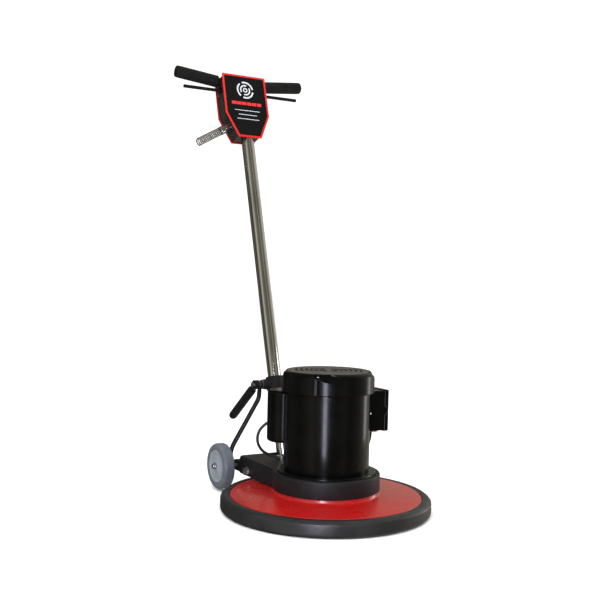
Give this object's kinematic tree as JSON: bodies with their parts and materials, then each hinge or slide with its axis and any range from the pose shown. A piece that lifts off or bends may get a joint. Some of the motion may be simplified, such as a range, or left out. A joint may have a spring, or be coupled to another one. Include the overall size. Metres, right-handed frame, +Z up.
{
  "type": "rotary floor machine",
  "caption": "Single-disc floor scrubber and polisher: round deck with bumper, upright motor and gearbox, tilting tube handle with switch box, grips and trigger, and transport wheels.",
  "frame": {"origin": "on the floor, at the middle of the machine's footprint, between the front of the bumper and the rear of the grips", "axes": "+Z up, -Y towards the front of the machine, +X to the right as seen from the front, the terminal box's side"},
  "size_m": [0.546, 0.8657, 1.224],
  "materials": {
    "red_enamel": "gloss red enamel",
    "bumper_rubber": "satin black moulded rubber",
    "black_casting": "black crinkle paint on a casting",
    "black_enamel": "high gloss black enamel",
    "black_steel": "satin black coated steel",
    "cast_aluminium": "as-cast aluminium",
    "gear_steel": "machined and oiled steel",
    "bearing_steel": "ground steel",
    "lamination_steel": "stacked lamination steel",
    "zinc_steel": "bright zinc plate",
    "chrome": "polished chrome plate",
    "copper_wire": "varnished copper wire",
    "capacitor_can": "drawn aluminium can",
    "cable_rubber": "black rubber cable jacket",
    "grip_rubber": "ribbed black rubber",
    "fan_plastic": "moulded nylon",
    "switch_plastic": "moulded phenolic",
    "wheel_tyre": "non-marking blue-grey rubber",
    "wheel_hub": "moulded blue-grey plastic",
    "label_film": "printed black film"
  },
  "bodies": {
    "root": {"deck": "red_enamel", "bumper": "bumper_rubber", "chassis_casting": "black_casting", "motor_bolts": "zinc_steel", "pivot_bolt": "chrome", "gear_case": "cast_aluminium", "bearings": "bearing_steel", "ring_gear": "gear_steel", "motor_flange": "black_enamel", "motor_shell": "black_enamel", "upper_end_bell": "cast_aluminium", "stator_core": "lamination_steel", "stator_windings": "copper_wire", "fan_cover": "black_enamel", "motor_cover_screws": "zinc_steel", "capacitor_cover": "black_enamel", "capacitor": "capacitor_can", "terminal_box": "black_enamel", "terminal_box_lid": "black_enamel", "motor_cable": "cable_rubber", "cable_fittings": "zinc_steel", "axle": "zinc_steel", "axle_spacers": "black_steel", "axle_caps": "chrome"},
    "rotor": {"motor_shaft": "bearing_steel", "rotor_core": "lamination_steel", "sun_gear": "gear_steel", "cooling_fan": "fan_plastic"},
    "carrier": {"planet_carrier": "gear_steel", "planet_pins": "bearing_steel", "drive_plate": "cast_aluminium", "drive_plate_screw": "zinc_steel"},
    "planet_1": {"planet_gear_1": "gear_steel"},
    "planet_2": {"planet_gear_2": "gear_steel"},
    "planet_3": {"planet_gear_3": "gear_steel"},
    "left_wheel": {"left_wheel_tyre": "wheel_tyre", "left_wheel_hub": "wheel_hub"},
    "right_wheel": {"right_wheel_tyre": "wheel_tyre", "right_wheel_hub": "wheel_hub"},
    "handle": {"handle_foot": "black_steel", "handle_tube": "chrome", "switch_box_band": "black_steel", "switch_box_front_cover": "red_enamel", "switch_box_rear_cover": "red_enamel", "label_panel": "label_film", "rear_cover_screws": "zinc_steel", "handlebar": "black_steel", "left_grip": "grip_rubber", "right_grip": "grip_rubber", "strain_relief_nut": "zinc_steel", "strain_relief_spring": "zinc_steel", "power_switch": "switch_plastic", "trigger_pivot_pin": "zinc_steel", "trigger_spring": "bearing_steel"},
    "trigger": {"trigger_bar": "black_steel"},
    "clamp": {"clamp_block": "black_casting", "clamp_stud": "zinc_steel"},
    "lever": {"clamp_lever": "black_steel", "lever_grip": "grip_rubber"},
    "strut": {"strut": "black_steel"}
  },
  "joints": [
    {"name": "handle_tilt", "type": "hinge", "parent": "root", "child": "handle", "pos_m": [0, 0.075, 0.062], "axis": [-1, 0, 0], "range_deg": [-16.4, 28.5]},
    {"name": "clamp_slide", "type": "slide", "parent": "handle", "child": "clamp", "axis": [0, 0.2835, 0.959], "range_m": [-0.0232, 0.04]},
    {"name": "strut_swing", "type": "hinge", "parent": "root", "child": "strut", "pos_m": [-0.1275, 0.151, 0.0665], "axis": [-1, 0, 0], "range_deg": [-19.1, 33]},
    {"name": "lever_turn", "type": "hinge", "parent": "clamp", "child": "lever", "pos_m": [-0.0626, 0.12641, 0.29419], "axis": [1, 0, 0], "range_deg": [0, 95]},
    {"name": "trigger_squeeze", "type": "hinge", "parent": "handle", "child": "trigger", "pos_m": [0, 0.40693, 1.15133], "axis": [-1, 0, 0], "range_deg": [0, 11], "stiffness_Nm_per_rad": 2, "springref_deg": -20.05},
    {"name": "left_wheel_roll", "type": "hinge", "parent": "root", "child": "left_wheel", "pos_m": [-0.1555, 0.151, 0.0665], "axis": [1, 0, 0], "continuous": true},
    {"name": "right_wheel_roll", "type": "hinge", "parent": "root", "child": "right_wheel", "pos_m": [0.1555, 0.151, 0.0665], "axis": [1, 0, 0], "continuous": true},
    {"name": "rotor_spin", "type": "hinge", "parent": "root", "child": "rotor", "pos_m": [0, -0.161, 0.2], "axis": [0, 0, 1], "continuous": true},
    {"name": "carrier_spin", "type": "hinge", "parent": "root", "child": "carrier", "pos_m": [0, -0.161, 0.05], "axis": [0, 0, 1], "continuous": true},
    {"name": "planet_1_spin", "type": "hinge", "parent": "carrier", "child": "planet_1", "pos_m": [0.0375, -0.161, 0.078], "axis": [0, 0, 1], "continuous": true},
    {"name": "planet_2_spin", "type": "hinge", "parent": "carrier", "child": "planet_2", "pos_m": [-0.01875, -0.12852, 0.078], "axis": [0, 0, 1], "continuous": true},
    {"name": "planet_3_spin", "type": "hinge", "parent": "carrier", "child": "planet_3", "pos_m": [-0.01875, -0.19348, 0.078], "axis": [0, 0, 1], "continuous": true}
  ],
  "couplings": [
    {"joint": "clamp_slide", "follows": "handle_tilt", "m_per_rad": 0.0788},
    {"joint": "strut_swing", "follows": "handle_tilt", "ratio": 1.151},
    {"joint": "carrier_spin", "follows": "rotor_spin", "ratio": 0.1},
    {"joint": "planet_1_spin", "follows": "rotor_spin", "ratio": -0.225},
    {"joint": "planet_2_spin", "follows": "rotor_spin", "ratio": -0.225},
    {"joint": "planet_3_spin", "follows": "rotor_spin", "ratio": -0.225}
  ]
}
